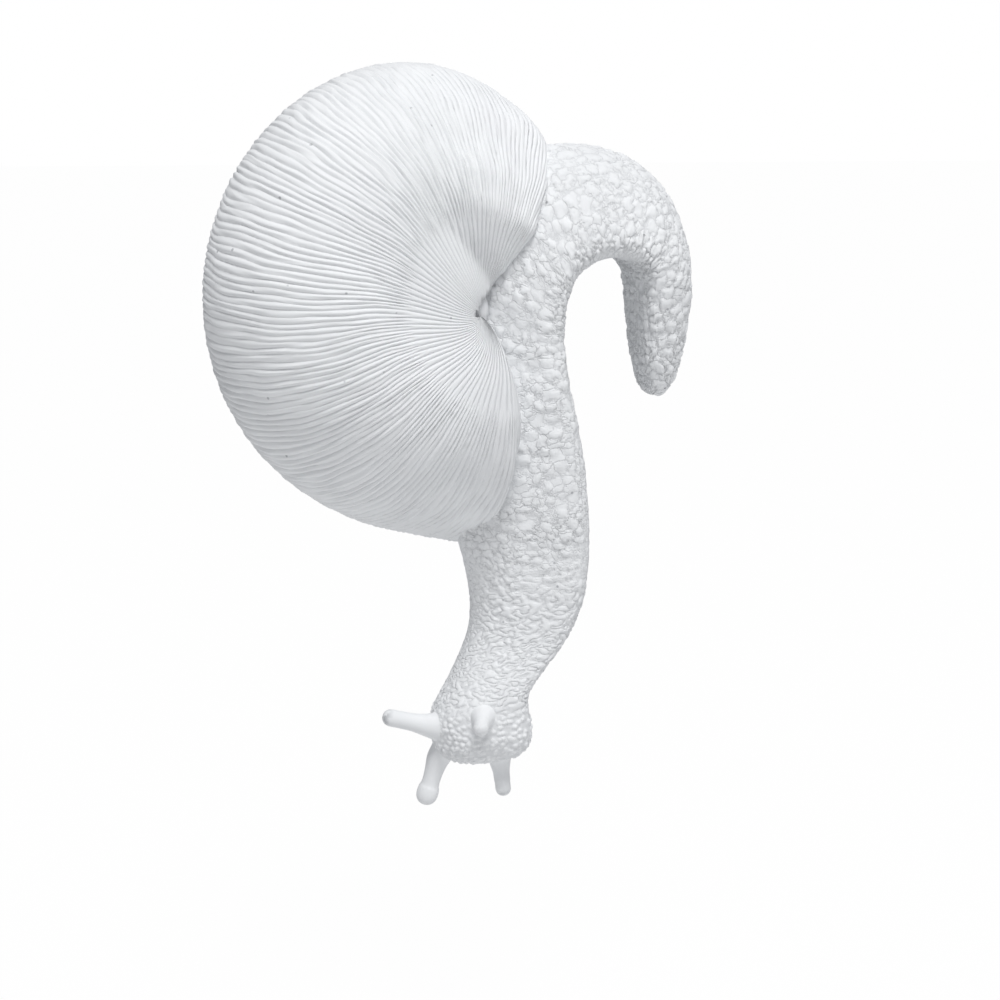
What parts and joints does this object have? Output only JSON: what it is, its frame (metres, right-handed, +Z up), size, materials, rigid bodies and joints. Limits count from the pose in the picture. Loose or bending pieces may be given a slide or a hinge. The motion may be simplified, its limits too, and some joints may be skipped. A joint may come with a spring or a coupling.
{
  "type": "snail pot hanger",
  "caption": "Cast snail ornament that hangs head-down outside a planter by a tail hooked over its rim, with a ribbed coiled shell and pebbled skin.",
  "frame": {"origin": "middle of the seat inside the tail hook, where the planter's rim bears", "axes": "+Z up, +X into the planter, +Y the snail's right side; the snail hangs head-down"},
  "size_m": [0.0893, 0.0492, 0.135],
  "materials": {
    "white_resin_skin": "matte white paint over pebbled cast resin",
    "white_resin_shell": "matte white paint over ribbed cast resin",
    "white_resin_smooth": "matte white paint over smooth cast resin",
    "steel_wire": "drawn wire, bare"
  },
  "bodies": {
    "root": {"body_casting": "white_resin_skin", "shell_casting": "white_resin_shell", "tail_armature_rod": "steel_wire", "shell_dowels": "steel_wire", "left_eye_stalk": "white_resin_smooth", "left_eye_stalk_wire": "steel_wire", "right_eye_stalk": "white_resin_smooth", "right_eye_stalk_wire": "steel_wire", "left_feeler": "white_resin_smooth", "left_feeler_wire": "steel_wire", "right_feeler": "white_resin_smooth", "right_feeler_wire": "steel_wire"}
  },
  "joints": []
}
